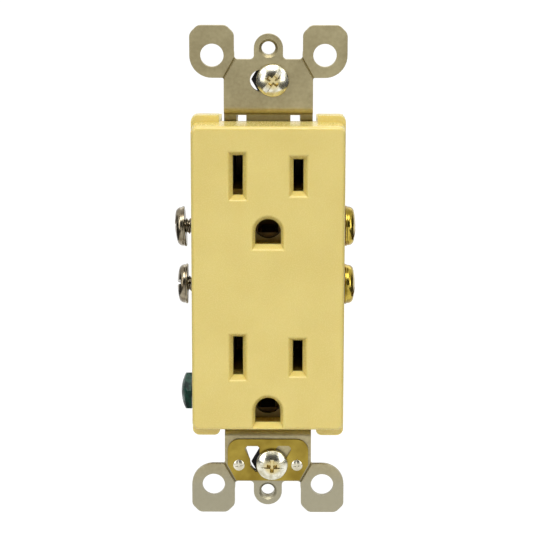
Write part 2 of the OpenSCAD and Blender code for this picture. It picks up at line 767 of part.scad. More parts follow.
// Two leaves that grip a blade, open towards the face
module blade_leaves(z) {
    grip = blade_grip / 2;
    root = grip + 0.15;
    mouth = grip + 0.4;
    root_y = flange_front + fit_gap;
    for (side = [-1, 1]) upright(z - leaf_half_h, z + leaf_half_h)
        translate([slot_x, 0]) polygon([
            [side * root, root_y], [side * (root + leaf_t), root_y],
            [side * (grip + leaf_t), leaf_pinch], [side * (mouth + leaf_t / 2), leaf_mouth],
            [side * mouth, leaf_mouth], [side * grip, leaf_pinch]
        ]);
}

// Half of a bus: terminal pad, flange, contact leaves and the tab for a push-in wire
module bus_half(outlet_z, terminal_z, out) {
    difference() {
        box([pad_in_x, pad_front, terminal_z - pad_half_h],
            [body_half_w, bus_rear, terminal_z + pad_half_h]);
        translate([pad_in_x - cut, terminal_y, terminal_z]) rotate([0, 90, 0])
            cylinder(r = thread_hole_r, h = bus_t + 2 * cut);
    }
    tab_z = outlet_z - out * tab_reach;
    tab_t = 0.8;
    box([pocket_in_x + body_gap, flange_front, terminal_z - out * flange_end],
        [body_half_w - side_wall - body_gap, bus_rear, tab_z]);
    box([pad_in_x - 1, flange_front, terminal_z - out * flange_end],
        [pad_in_x + fit_gap, bus_rear, terminal_z + out * pad_half_h]);
    box([chamber_in_x + body_gap, flange_front, outlet_z - out * blade_bed_half_h],
        [chamber_mid_x - body_gap, bus_rear, outlet_z + out * blade_bed_half_h]);
    box([wire_hole_x - wire_tab_w / 2, pad_front - tab_t, tab_z],
        [wire_hole_x + wire_tab_w / 2, bus_rear, tab_z - out * tab_t]);
    blade_leaves(outlet_z);
}

// Link between the two pads, thinned at both ends so that it breaks off
module bus_link() {
    z0 = terminal_zs[1] + pad_half_h;
    z1 = terminal_zs[0] - pad_half_h;
    notch = 0.35;
    link_half_w = 2;
    difference() {
        box([pad_in_x, terminal_y - link_half_w, z0 - fit_gap],
            [body_half_w, terminal_y + link_half_w, z1 + fit_gap]);
        for (z = [z0 + notch, z1 - notch])
            box([pad_in_x + bus_t / 2, terminal_y - link_half_w - cut, z - notch / 2],
                [body_half_w + cut, terminal_y + link_half_w + cut, z + notch / 2]);
    }
}

module bus() {
    bus_half(outlet_zs[0], terminal_zs[0], 1);
    bus_half(outlet_zs[1], terminal_zs[1], -1);
    bus_link();
}

module ground_contact(z) {
    half = ground_grip / 2;
    base_y = strip_back + leaf_t;
    tip_y = strip_back + ground_leaf_l;
    pinch_y = tip_y - ground_flare_l;
    low_z = z - half - fit_gap;
    color([0.70, 0.55, 0.28]) {
        difference() {
            box([-ground_base_half_w, strip_back, z - ground_base_down],
                [ground_base_half_w, base_y, z + ground_base_up]);
            box([-half - 0.05, strip_back - cut, low_z], [half + 0.05, base_y + cut, z + ground_r + fit_gap]);
            hole_y(0, z + contact_rivet_up, contact_rivet_r + rivet_gap, strip_back - cut, base_y + cut);
        }
        for (side = [-1, 1]) upright(z - ground_leaf_half_h, z + ground_leaf_half_h) polygon([
            [side * (half + 0.05), strip_back], [side * (half + 0.05 + leaf_t), strip_back],
            [side * (half + leaf_t), pinch_y], [side * (half + leaf_t + ground_flare), tip_y],
            [side * (half + ground_flare), tip_y], [side * half, pinch_y]
        ]);
        across(-1.5, 1.5) polygon([
            [strip_back, low_z], [strip_back, low_z - leaf_t],
            [pinch_y, z - half - leaf_t], [tip_y, z - half - leaf_t - ground_flare],
            [tip_y, z - half - ground_flare], [pinch_y, z - half]
        ]);
    }
}

module contact_rivets() {
    base_y = strip_back + leaf_t;
    color([0.75, 0.73, 0.66]) for (z = ground_zs) {
        hole_y(0, z + contact_rivet_up, contact_rivet_r, strip_front, base_y);
        hole_y(0, z + contact_rivet_up, contact_rivet_head_r, base_y, base_y + 0.5);
    }
}

module body_rivets() {
    color([0.72, 0.70, 0.64]) for (z = outlet_zs) {
        hole_y(0, z, body_rivet_r, -body_rivet_tip, body_rear - body_rivet_head_h);
        difference() {
            hole_y(0, z, body_rivet_head_r, body_rear - body_rivet_head_h, body_rear - fit_gap);
            hole_y(0, z, body_rivet_bore_r, body_rear - body_rivet_head_h / 2, body_rear + cut);
        }
    }
}

// Bent spring: its back lies on the chamber's wall and its free leg bears on the wire
module wire_clip(outlet_z, out) {
    seat_z = outlet_z + out * spring_seat;
    tip_z = outlet_z - out * (tab_reach - spring_lift);
    fold_y = flange_front - spring_lift;
    leg = out * spring_t;
    color([0.62, 0.62, 0.60]) across(wire_hole_x - spring_w / 2, wire_hole_x + spring_w / 2) polygon([
        [pad_front, seat_z], [fold_y, seat_z], [fold_y, seat_z - 2 * leg],
        [spring_tip_y, tip_z], [spring_tip_y - spring_t, tip_z + leg],
        [fold_y - 2 * spring_t, seat_z - leg], [pad_front, seat_z - leg]
    ]);
}

// ---- screws ----

// Screw along +Z from its head's underside at z = 0: domed head above, shank below
module screw_head(r, h, edge, dome_r) {
    rotate_extrude() intersection() {
        union() {
            square([r - edge, h]);
            square([r, h - edge]);
            translate([r - edge, h - edge]) circle(edge);
        }
        translate([0, h - dome_r]) circle(dome_r);
        square([r, h]);
    }
}

module shank(l) {
    tip = 0.6;
    translate([0, 0, -l + tip]) cylinder(r = thread_r, h = l - tip + 0.1);
    translate([0, 0, -l]) cylinder(r1 = thread_r - tip, r2 = thread_r, h = tip);
}

// Straight slot with a cross recess in its middle
module drive_recess(h, reach, depth) {
    translate([-reach, -drive_w / 2, h - depth]) cube([2 * reach, drive_w, depth + cut]);
    for (turn = [0, 90]) rotate(turn) translate([-drive_cross / 2, -cross_w / 2, h - depth - 0.5])
        cube([drive_cross, cross_w, depth + 0.5 + cut]);
}

module terminal_screw(tint) {
    color(tint) {
        difference() {
            screw_head(terminal_head_r, terminal_head_h, 0.9, terminal_dome_r);
            drive_recess(terminal_head_h, terminal_head_r + cut, drive_depth);
        }
        shank(terminal_shank_l);
    }
}

// Turns a +Z screw to face along X, with its head's underside a gap off the side of the body
module at_side(side, z, gap) {
    translate([side * (body_half_w + gap), terminal_y, z]) rotate([0, side * 90, 0]) children();
}

module hot_upper_screw() {
    at_side(1, terminal_zs[0], hot_backoff) rotate(24) terminal_screw(brass_tint);
}

module hot_lower_screw() {
    at_side(1, terminal_zs[1], hot_backoff) rotate(35) terminal_screw(brass_tint);
}

// Hangs a little in its thread: turned about the middle of the pad
module neutral_upper_screw() {
    pivot = [-body_half_w + bus_t / 2, terminal_y, terminal_zs[0]];
    translate(pivot) rotate([0, -neutral_upper_droop, 0]) translate(-pivot)
        at_side(-1, terminal_zs[0], neutral_upper_backoff) rotate(70) terminal_screw(nickel_tint);
}

module neutral_lower_screw() {
    at_side(-1, terminal_zs[1], neutral_lower_backoff) rotate(10) terminal_screw(nickel_tint);
}

module ground_screw() {
    corner_r = ground_head_flats / sqrt(3);
    color([0.13, 0.32, 0.25]) at_side(-1, ground_screw_z, ground_backoff) {
        difference() {
            intersection() {
                rotate(15) cylinder(r = corner_r, h = terminal_head_h, $fn = 6);
                screw_head(corner_r + fit_gap, terminal_head_h, 0.6, terminal_dome_r);
            }
            rotate(40) translate([-corner_r - cut, -drive_w / 2, terminal_head_h - drive_depth])
                cube([2 * (corner_r + cut), drive_w, drive_depth + cut]);
        }
        shank(terminal_shank_l - 1);
    }
}

module box_screw(turn) {
    color([0.80, 0.80, 0.76]) rotate([90, 0, 0]) {
        difference() {
            screw_head(box_head_r, box_head_h, 0.8, box_dome_r);
            rotate(turn) drive_recess(box_head_h, box_head_r + cut, drive_depth);
        }
        shank(box_shank_l);
    }
}

module upper_box_screw() {
    translate([box_screw_x, -upper_head_seat, upper_screw_z]) box_screw(40);
}

module lower_box_screw() {
    translate([box_screw_x, -lower_head_seat, lower_screw_z]) box_screw(-4);
}

module washer(z) {
    color([0.12, 0.12, 0.11]) difference() {
        translate([box_screw_x, washer_front + washer_t, z]) rotate([90, 0, 0])
            cylinder(r = washer_r, h = washer_t, $fn = 6);
        hole_y(box_screw_x, z, thread_hole_r, washer_front - cut, washer_front + washer_t + cut);
    }
}

front_cover();
back_body();
strap();
ground_clip();
clip_rivets();
color(brass_tint) bus();  // hot_bus
color(nickel_tint) mirror([1, 0, 0]) bus();  // neutral_bus
ground_contact(ground_zs[0]);  // upper_ground_contact
ground_contact(ground_zs[1]);  // lower_ground_contact
contact_rivets();
hot_upper_screw();
hot_lower_screw();
neutral_upper_screw();
neutral_lower_screw();
ground_screw();
upper_box_screw();
lower_box_screw();
washer(upper_screw_z);  // upper_screw_washer
washer(lower_screw_z);  // lower_screw_washer
wire_clip(outlet_zs[0], 1);  // hot_upper_wire_clip
wire_clip(outlet_zs[1], -1);  // hot_lower_wire_clip
mirror([1, 0, 0]) wire_clip(outlet_zs[0], 1);  // neutral_upper_wire_clip
mirror([1, 0, 0]) wire_clip(outlet_zs[1], -1);  // neutral_lower_wire_clip
body_rivets();
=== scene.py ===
import json
import math

import bmesh
import bpy
from mathutils import Matrix, Vector

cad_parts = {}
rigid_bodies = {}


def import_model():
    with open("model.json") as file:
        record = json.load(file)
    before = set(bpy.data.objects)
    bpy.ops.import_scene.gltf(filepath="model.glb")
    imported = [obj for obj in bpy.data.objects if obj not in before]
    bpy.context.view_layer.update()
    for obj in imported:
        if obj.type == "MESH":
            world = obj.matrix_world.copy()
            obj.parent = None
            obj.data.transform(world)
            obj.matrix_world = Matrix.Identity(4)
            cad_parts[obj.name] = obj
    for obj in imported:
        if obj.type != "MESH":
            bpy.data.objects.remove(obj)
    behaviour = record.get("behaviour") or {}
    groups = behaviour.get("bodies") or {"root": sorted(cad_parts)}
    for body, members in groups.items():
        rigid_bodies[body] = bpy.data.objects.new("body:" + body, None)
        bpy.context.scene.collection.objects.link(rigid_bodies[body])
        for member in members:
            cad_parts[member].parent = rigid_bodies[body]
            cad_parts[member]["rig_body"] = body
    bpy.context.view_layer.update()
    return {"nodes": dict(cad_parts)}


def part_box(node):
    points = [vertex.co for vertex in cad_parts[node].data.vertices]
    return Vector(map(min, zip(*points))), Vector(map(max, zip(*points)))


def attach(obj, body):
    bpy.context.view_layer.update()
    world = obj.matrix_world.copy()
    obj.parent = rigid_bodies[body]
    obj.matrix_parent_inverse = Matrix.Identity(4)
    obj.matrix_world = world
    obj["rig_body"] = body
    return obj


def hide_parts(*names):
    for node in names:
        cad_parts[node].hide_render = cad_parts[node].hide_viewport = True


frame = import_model()

MM = 0.001

# ---- Back body ----
# The rear half of the housing, one ivory moulding of the same plastic as the cover. It is open
# at the sides for the terminal plates and holds every contact in its own chamber.


class Socket:
    """One output of a shader node, which takes part in Python sums."""

    def __init__(self, paint, output):
        self.paint = paint
        self.output = output

    def maths(self, operation, *others):
        return self.paint.node("Math", {"operation": operation}, dict(enumerate((self, *others))))

    def __abs__(self):
        return self.maths("ABSOLUTE")

    def __add__(self, other):
        return self.maths("ADD", other)

    def __sub__(self, other):
        return self.maths("SUBTRACT", other)

    def __mul__(self, other):
        return self.maths("MULTIPLY", other)

    def __pow__(self, other):
        return self.maths("POWER", other)

    __radd__ = __add__


class Paint:
    """A finish whose shader nodes are written as expressions."""

    def __init__(self, name, **settings):
        self.material = bpy.data.materials.new(name)
        self.material.use_nodes = True
        self.tree = self.material.node_tree
        self.shader = self.tree.nodes["Principled BSDF"]
        for socket, value in settings.items():
            self.set(socket.replace("_", " "), value)

    def node(self, kind, settings=None, inputs=None, output=0):
        made = self.tree.nodes.new("ShaderNode" + kind)
        for name, value in (settings or {}).items():
            setattr(made, name, value)
        for name, value in (inputs or {}).items():
            self.feed(made.inputs[name], value)
        return Socket(self, made.outputs[output])

    def feed(self, socket, value):
        if isinstance(value, Socket):
            self.tree.links.new(value.output, socket)
        else:
            socket.default_value = value

    def set(self, socket, value):
        self.feed(self.shader.inputs[socket], value)

    def noise(self, size, detail=2.0, stretch=(1, 1, 1), shift=(0, 0, 0)):
        """Soft mottle between 0 and 1, whose spots are about size metres across."""
        place = self.node("TexCoord", output="Object")
        turned = self.node("Mapping", None, {"Vector": place, "Location": shift, "Scale": stretch})
        return self.node("TexNoise", None, {"Vector": turned, "Scale": 1 / size, "Detail": detail})

    def place(self, axis):
        """Where a point lies along an axis of the object's own frame, in metres."""
        spot = self.node("TexCoord", output="Object")
        return self.node("SeparateXYZ", None, {0: spot}, axis)

    def spread(self, value, low, high):
        """Stretches a mottle so that low becomes 0 and high becomes 1."""
        return self.node("MapRange", None, {0: value, 1: low, 2: high, 3: 0.0, 4: 1.0})

    def mix(self, mask, first, second):
        return self.node("Mix", {"data_type": "RGBA"}, {0: mask, 6: first, 7: second}, 2)

    def relief(self, height, depth, strength=1.0):
        self.set("Normal", self.node(
            "Bump", None, {"Height": height, "Distance": depth, "Strength": strength}))


def tint(red, green, blue):
    """Screen colour, 0 to 255, as the linear colour that a shader takes."""
    return tuple(((c / 255 + 0.055) / 1.055) ** 2.4 for c in (red, green, blue)) + (1.0,)


def moulded_plastic(name, pale, deep, gloss):
    finish = Paint(name, Roughness=gloss, Specular_IOR_Level=0.45, Subsurface_Weight=0.35,
                   Subsurface_Radius=(1.0, 0.75, 0.4), Subsurface_Scale=1.2 * MM)
    cloud = finish.spread(finish.noise(9 * MM, 3.0), 0.35, 0.65)
    finish.set("Base Color", finish.mix(cloud, pale, deep))
    grain = finish.noise(0.22 * MM, 2.0)
    finish.set("Roughness", gloss - 0.05 + grain * 0.1)
    finish.relief(grain + finish.noise(1.6 * MM, 2.0) * 1.5, 0.006 * MM)
    return finish.material


def dress(node, material):
    """Gives a carried-over CAD piece its finish."""
    for slot in frame["nodes"][node].material_slots:
        slot.material = material


def break_edges(mesh, width, angle=32, chosen=None, segments=2, clamp=True):
    """Bevels the sharp outer edges of a mesh, or those of them that a test picks.

    Clamped bevels shrink where edges lie close together. Unclamped ones keep their width.
    """
    sharp = [edge for edge in mesh.edges
             if edge.is_manifold and edge.is_convex and edge.calc_face_angle() > math.radians(angle)
             and (chosen is None or chosen(edge))]
    bmesh.ops.bevel(mesh, geom=sharp, offset=width, offset_type="OFFSET", affect="EDGES",
                    segments=segments, profile=0.5, material=-1, clamp_overlap=clamp)


def merged(mesh, flatness=0.5):
    """Joins loose triangles and drops the lines between those that lie in one plane."""
    bmesh.ops.remove_doubles(mesh, verts=mesh.verts, dist=0.002 * MM)
    bmesh.ops.dissolve_limit(mesh, angle_limit=math.radians(flatness), verts=mesh.verts,
                             edges=mesh.edges, delimit={"NORMAL"})


def as_object(mesh, name):
    data = bpy.data.meshes.new(name)
    bmesh.ops.recalc_face_normals(mesh, faces=mesh.faces)
    mesh.to_mesh(data)
    mesh.free()
    made = bpy.data.objects.new(name, data)
    bpy.context.scene.collection.objects.link(made)
    return made


def combined(mesh, steps):
    """Joins or cuts a closed mesh with others, given as (mesh, operation) pairs, in turn."""
    blank = as_object(mesh, "blank")
    tools = [as_object(tool, "tool") for tool, _ in steps]
    for tool, (_, operation) in zip(tools, steps):
        step = blank.modifiers.new("step", "BOOLEAN")
        step.operation = operation
        step.solver = "EXACT"
        step.object = tool
    result = bmesh.new()
    result.from_object(blank, bpy.context.evaluated_depsgraph_get())
    for item in [blank] + tools:
        bpy.data.objects.remove(item)
    return result


def lofted(rings):
    """Closed solid through rings of as many points each."""
    mesh = bmesh.new()
    loops = [[mesh.verts.new(point) for point in ring] for ring in rings]
    for low, high in zip(loops, loops[1:]):
        for corners in zip(low, low[1:] + low[:1], high[1:] + high[:1], high):
            mesh.faces.new(corners)
    mesh.faces.new(loops[0])
    mesh.faces.new(loops[-1])
    bmesh.ops.recalc_face_normals(mesh, faces=mesh.faces)
    return mesh


def ring(outline, y):
    """Puts an outline of (x, z) points at a depth."""
    return [(x, y, z) for x, z in outline]


def rectangle(x, z, half_w, half_h):
    return [(x - half_w, z - half_h), (x + half_w, z - half_h),
            (x + half_w, z + half_h), (x - half_w, z + half_h)]


def copied(node):
    """Merged copy of a CAD piece's mesh."""
    mesh = bmesh.new()
    mesh.from_mesh(frame["nodes"][node].data)
    merged(mesh)
    return mesh


CREASE = math.radians(34)


def finished(mesh, name, body, replaced):
    """Makes a bmesh a piece that rides on a body in place of CAD nodes."""
    data = bpy.data.meshes.new(name)
    mesh.to_mesh(data)
    mesh.free()
    if data.has_custom_normals:
        data.attributes.remove(data.attributes["custom_normal"])
    data.polygons.foreach_set("use_smooth", [True] * len(data.polygons))
    data.set_sharp_from_angle(angle=CREASE)
    piece = bpy.data.objects.new(name, data)
    bpy.context.scene.collection.objects.link(piece)
    shading = piece.modifiers.new("flat_faces_lead", "WEIGHTED_NORMAL")
    shading.keep_sharp = True
    shading.weight = 100
    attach(piece, body)
    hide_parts(*replaced)
    return piece


BODY_HALF_W = 16.3 * MM
BODY_FOOT_Z = -33.95 * MM
FOOT_DROP = 0.35 * MM
RECESS_HALF_W = 10.4 * MM
SHOULDER_REAR = 1.8 * MM
BACK_TOP = 31.2 * MM
BEYOND = 5 * MM
CUT_HALF_W = 20 * MM
CUT_REAR = 30 * MM
INNER_CORNER_R = 1.2 * MM
NEAR = 0.02 * MM


def lower_foot(mesh):
    """Lengthens the housing's shoulders at the lower end and rounds their inner corners."""
    for vert in mesh.verts:
        if vert.co.z < BODY_FOOT_Z:
            vert.co.z -= FOOT_DROP
    lowest = min(vert.co.z for vert in mesh.verts)
    break_edges(mesh, INNER_CORNER_R, segments=6, chosen=lambda edge: all(
        abs(abs(vert.co.x) - RECESS_HALF_W) < NEAR and vert.co.z < lowest + NEAR
        for vert in edge.verts))


above = rectangle(0, BACK_TOP + BEYOND, CUT_HALF_W, BEYOND)
rear = combined(copied("back_body"), [
    (lofted([ring(above, SHOULDER_REAR), ring(above, CUT_REAR)]), "DIFFERENCE")])
merged(rear)
lower_foot(rear)
break_edges(rear, 0.12 * MM)
rear = finished(rear, "back_moulding", "device", ["back_body"])
rear.data.materials.append(
    moulded_plastic("rear_ivory", tint(219, 202, 130), tint(214, 195, 121), 0.5))

# ---- Buses ----
# Two plates stamped from sheet, one of bare brass for the hot side and one plated with nickel
# for the neutral side. Each carries two terminal pads and the leaves that grip the blades.


LEAF_REACH = 10.6 * MM
LEAF_FADE = 0.8 * MM
# Painted shade: the leaves inside the housing are mixed towards this dark brown, standing in for the
# shade deep in the blade slots.
PAINTED_LEAF_SHADE = tint(58, 50, 40)


def rolled_metal(name, pale, deep, roughness, stretch=(1, 1, 0.12), scratch=0.3, leaves=False):
    """Rolled sheet with drawn-out scratches. With leaves, a bus's leaves inside the housing get
    painted shade, a dark brown that stands in for the shade deep in the blade slots.
    """
    finish = Paint(name, Metallic=1.0)
    stain = finish.spread(finish.noise(5 * MM, 4.0), 0.35, 0.65)
    colour = finish.mix(stain, pale, deep)
    if leaves:
        # Painted shade mask: 1 on the leaves nearer the middle than LEAF_REACH, fading out over
        # LEAF_FADE.
        leaf_shade_mask = finish.spread(abs(finish.place(0)), LEAF_REACH, LEAF_REACH + LEAF_FADE)
        colour = finish.mix(leaf_shade_mask, PAINTED_LEAF_SHADE, colour)
    finish.set("Base Color", colour)
    lines = finish.noise(0.16 * MM, 3.0, stretch)
    finish.set("Roughness", roughness - 0.08 + lines * 0.12 + stain * 0.06)
    finish.relief(lines + finish.noise(0.9 * MM, 2.0) * 0.8, 0.008 * MM, scratch)
    return finish.material


dress("hot_bus", rolled_metal("bus_brass", tint(222, 184, 98), tint(196, 156, 76), 0.32,
                             leaves=True))
dress("neutral_bus", rolled_metal("bus_nickel", tint(205, 200, 188), tint(184, 178, 164),
                                 0.32, leaves=True))

# ---- Push-in wire clips ----
# Four bent strips of bare spring steel behind the wire holes in the back. The free leg of each
# bears on the wire and keeps it from pulling out.

spring_steel = rolled_metal("spring_steel", tint(176, 178, 180), tint(150, 152, 156), 0.3)
for side in ("hot", "neutral"):
    for height in ("upper", "lower"):
        dress(f"{side}_{height}_wire_clip", spring_steel)

# ---- Ground contacts ----
# Two cups of spring brass, each with three leaves round the ground pin. One rivet head holds
# each to the strap.

# Painted shade: the brass colours are darkened well below brass's own tone, standing in for the shade
# deep inside the ground holes.
contact_brass = rolled_metal("contact_brass", tint(104, 84, 50), tint(72, 56, 34), 0.4)
for height in ("upper", "lower"):
    dress(f"{height}_ground_contact", contact_brass)
rivet_steel = rolled_metal("rivet_steel", tint(214, 212, 204), tint(190, 188, 180), 0.3, (1, 1, 1))
dress("contact_rivets", rivet_steel)

# ---- Strap ----
# The mounting strap, stamped from 1.2 mm steel, bent back behind each end plate, and zinc
# plated with a yellowish passivate. Its ears break off along scored lines.


def softened(node, name, width):
    """Copy of a CAD piece with its sharp edges broken, as tumbling and plating leave them."""
    mesh = copied(node)
    break_edges(mesh, width)
    return finished(mesh, name, frame["nodes"][node]["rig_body"], [node])


# Painted reflection: below these heights the lower ears are mixed towards a paler grey, standing in
# for the lit floor they mirror.
REFLECTION_FROM_Z = -41 * MM
REFLECTION_TO_Z = -47 * MM
FLOOR_REFLECTION_TINT = tint(170, 164, 140)
# Painted shade: behind the end plates the sheet is mixed towards a dark brown, standing in for the
# shadow under the bends.
SHADE_FROM_Y = 0.3 * MM
SHADE_TO_Y = 1.6 * MM
SHADE_BEHIND_PLATES = tint(104, 94, 62)


def plated_steel_painted_light(name, pale, deep, roughness):
    """Zinc with a cloudy passivate. A painted floor reflection greys the lower ears, and painted
    shade darkens the sheet behind the end plates, under the bends.
    """
    finish = Paint(name, Metallic=1.0)
    cloud = finish.spread(finish.noise(7 * MM, 4.0, shift=(3, 1, 7)), 0.36, 0.64)
    speck = finish.spread(finish.noise(0.7 * MM, 3.0), 0.3, 0.75)
    colour = finish.mix(cloud * 0.6 + speck * 0.4, pale, deep)
    # Painted floor reflection on the lower ears, by height.
    low = finish.spread(finish.place(2), REFLECTION_FROM_Z, REFLECTION_TO_Z)
    colour = finish.mix(low, colour, FLOOR_REFLECTION_TINT)
    # Painted shade on the legs and strip behind the plates, by depth.
    behind = finish.spread(finish.place(1), SHADE_FROM_Y, SHADE_TO_Y)
    finish.set("Base Color", finish.mix(behind, colour, SHADE_BEHIND_PLATES))
    finish.set("Roughness", roughness + speck * 0.12)
    finish.relief(speck + finish.noise(0.25 * MM, 2.0) * 0.6, 0.012 * MM, 0.5)
    return finish.material


EAR_INNER_X = 7 * MM
EAR_CORNER_Z = 50 * MM


def on_ear_corner(edge):
    low, high = (vert.co for vert in edge.verts)
    return (abs(low.y - high.y) > 0.5 * MM and min(abs(low.x), abs(high.x)) > EAR_INNER_X
            and min(abs(low.z), abs(high.z)) > EAR_CORNER_Z)


STRIP_HALF_W = 4.65 * MM
LEG_IN_X = 6.75 * MM
JOGGLE_LOW_Z = 34.1 * MM
JOGGLE_HIGH_Z = 36.1 * MM
CLOSE = 0.01 * MM


def close_joggle(mesh, side, end):
    """Fills the slit beside the strip where the sheet steps back from an end plate."""
    def within(face):
        return all(JOGGLE_LOW_Z - CLOSE < vert.co.z * end < JOGGLE_HIGH_Z + CLOSE
                   and STRIP_HALF_W - CLOSE < vert.co.x * side < LEG_IN_X + CLOSE
                   for vert in face.verts)

    walls = [face for face in mesh.faces if within(face) and abs(face.normal.x) > 0.99]
    rims = list({edge for face in walls for edge in face.edges})
    bmesh.ops.delete(mesh, geom=walls, context="FACES_ONLY")
    bmesh.ops.bridge_loops(mesh, edges=rims)
    ends = [face for face in mesh.faces if within(face) and abs(face.normal.z) > 0.99
            and all(abs(vert.co.z * end - JOGGLE_HIGH_Z) < CLOSE for vert in face.verts)]
    bmesh.ops.delete(mesh, geom=ends, context="FACES_ONLY")


sheet = copied("strap")
for end in (-1, 1):
    for height in (JOGGLE_LOW_Z, JOGGLE_HIGH_Z):
        bmesh.ops.bisect_plane(sheet, geom=sheet.verts[:] + sheet.edges[:] + sheet.faces[:],
                               plane_co=(0, 0, end * height), plane_no=(0, 0, 1))
    for side in (-1, 1):
        close_joggle(sheet, side, end)
merged(sheet)
break_edges(sheet, 0.6 * MM, chosen=on_ear_corner, segments=4)
break_edges(sheet, 0.13 * MM)
strap = finished(sheet, "strap_body", "device", ["strap"])
strap.data.materials.append(
    plated_steel_painted_light("passivated_zinc_painted_light", tint(190, 179, 140), tint(164, 152, 116), 0.4))

# ---- Front cover ----
# The front half of the housing: a satin ivory moulding with a rectangular face, rounded front
# edges, and bevelled mouths at the blade slots and the ground holes.

SHOULDER_FRONT = -0.8 * MM
FACE_FRONT = -6.8 * MM
FACE_HALF_W = 16.15 * MM
FACE_HALF_H = 32.85 * MM
FACE_CORNER_R = 1.5 * MM
FACE_EDGE_R = 0.8 * MM
FACE_SEAM = -3.5 * MM
PARTING_Y = 0.9 * MM
WALL_END = -4.85 * MM
LEAD_END_Y = -5.0 * MM
LEAD_SIDE = 0.85 * MM
PIN_LEAD_SIDE = 0.6 * MM
LEAD_LENGTH = 0.95 * MM
POCKET = 0.8 * MM
SLOT_X = 6.35 * MM
SLOT_HALF_W = 1.05 * MM
NEUTRAL_HALF_H = 4.2 * MM
HOT_HALF_H = 3.4 * MM
MOUTHS_X = 10 * MM
THROUGH = 1 * MM
OUTLET_ZS = (22.35 * MM, -16.75 * MM)
GROUND_DROP = 12.05 * MM
GROUND_R = 2.7 * MM


def face_outline(inset):
    """The face's outline with round corners, drawn in by inset."""
    points = []
    for turn, (side, end) in enumerate(((1, 1), (-1, 1), (-1, -1), (1, -1))):
        for step in range(12):
            angle = math.radians(turn * 90 + step * 90 / 11)
            points.append((side * (FACE_HALF_W - FACE_CORNER_R)
                           + (FACE_CORNER_R - inset) * math.cos(angle),
                           end * (FACE_HALF_H - FACE_CORNER_R)
                           + (FACE_CORNER_R - inset) * math.sin(angle)))
    return points


def face_slab():
    rings = [ring(face_outline(0), FACE_SEAM)]
    for step in range(11):
        angle = math.radians(step * 9)
        rings.append(ring(face_outline(FACE_EDGE_R * (1 - math.cos(angle))),
                          FACE_FRONT + FACE_EDGE_R * (1 - math.sin(angle))))
    return lofted(rings)


def blade_slot(x, z, half_h):
    mouth = rectangle(x, z, SLOT_HALF_W + LEAD_SIDE, half_h + LEAD_LENGTH)
    throat = rectangle(x, z, SLOT_HALF_W, half_h)
    pocket = rectangle(x, z, SLOT_HALF_W + POCKET, half_h + POCKET)
    return lofted([ring(mouth, FACE_FRONT - THROUGH), ring(mouth, FACE_FRONT),
                   ring(throat, LEAD_END_Y), ring(throat, WALL_END),
                   ring(pocket, WALL_END), ring(pocket, PARTING_Y + THROUGH)])


def pin_outline(z, radius, rise, foot):
    """Half-round hole with a flat foot."""
    points = [(-radius, z - foot), (radius, z - foot)]
    for step in range(17):
        angle = math.radians(step * 180 / 16)
        points.append((radius * math.cos(angle), z + rise + radius * math.sin(angle)))
    return points


def pin_hole(z):
    rise = LEAD_LENGTH - PIN_LEAD_SIDE
    mouth = pin_outline(z, GROUND_R + PIN_LEAD_SIDE, rise, GROUND_R + LEAD_LENGTH)
    throat = pin_outline(z, GROUND_R, 0, GROUND_R)
    pocket = pin_outline(z, GROUND_R + POCKET, 0, GROUND_R + POCKET)
    return lofted([ring(mouth, FACE_FRONT - THROUGH), ring(mouth, FACE_FRONT),
                   ring(throat, LEAD_END_Y), ring(throat, WALL_END),
                   ring(pocket, WALL_END), ring(pocket, PARTING_Y + THROUGH)])


def on_shoulder(edge):
    return all(abs(vert.co.y - SHOULDER_FRONT) < CLOSE
               and abs(vert.co.z) > FACE_HALF_H + 0.05 * MM for vert in edge.verts)


def at_mouth(edge):
    return all(abs(vert.co.y - FACE_FRONT) < CLOSE and abs(vert.co.x) < MOUTHS_X
               for vert in edge.verts)


around = rectangle(0, 0, CUT_HALF_W, FACE_HALF_H + BEYOND)
steps = [(lofted([ring(around, FACE_FRONT - BEYOND), ring(around, FACE_SEAM)]), "DIFFERENCE"),
         (face_slab(), "UNION")]
for z in OUTLET_ZS:
    steps += [(blade_slot(-SLOT_X, z, NEUTRAL_HALF_H), "DIFFERENCE"),
              (blade_slot(SLOT_X, z, HOT_HALF_H), "DIFFERENCE"),
              (pin_hole(z - GROUND_DROP), "DIFFERENCE")]
cover = combined(copied("front_cover"), steps)
merged(cover)
lower_foot(cover)
break_edges(cover, 0.8 * MM, chosen=on_shoulder, segments=6)
break_edges(cover, 0.4 * MM, 10, chosen=at_mouth, segments=5, clamp=False)
break_edges(cover, 0.09 * MM)
cover = finished(cover, "cover_moulding", "device", ["front_cover"])
cover.data.materials.append(
    moulded_plastic("front_ivory", tint(224, 205, 124), tint(220, 200, 118), 0.27))

# ---- Body rivets ----
# Two steel rivets through cover, strap and body, with tubular ends spread at the back.

dress("body_rivets", rivet_steel)

# ---- Grounding clip ----
# A thin brass plate under the lower box screw. Its tongue presses on the screw and so grounds
# the strap without a wire.

clip = softened("ground_clip", "grounding_clip", 0.06 * MM)
clip.data.materials.append(rolled_metal(
    "clip_brass", tint(172, 150, 66), tint(140, 118, 46), 0.3, (0.12, 1, 1), 0.4))

# ---- Terminal screws ----
# Four large domed screws with a straight slot and a cross recess: bright brass on the hot side,
# nickel plated on the neutral side. Their rolled threads run in the bus plates.

TERMINAL_Y = 11.5 * MM
TERMINAL_ZS = (8.1 * MM, -4.9 * MM)
THREAD_R = 1.74 * MM
THREAD_ROOT_R = 1.32 * MM
THREAD_PITCH = 0.79 * MM
BLADE_W = 0.95 * MM
CROSS_ARM_W = 1.2 * MM


def absorb(mesh, other):
    """Adds another mesh's faces to a mesh and frees the other."""
    part = bpy.data.meshes.new("part")
    other.to_mesh(part)
    other.free()
    mesh.from_mesh(part)
    bpy.data.meshes.remove(part)


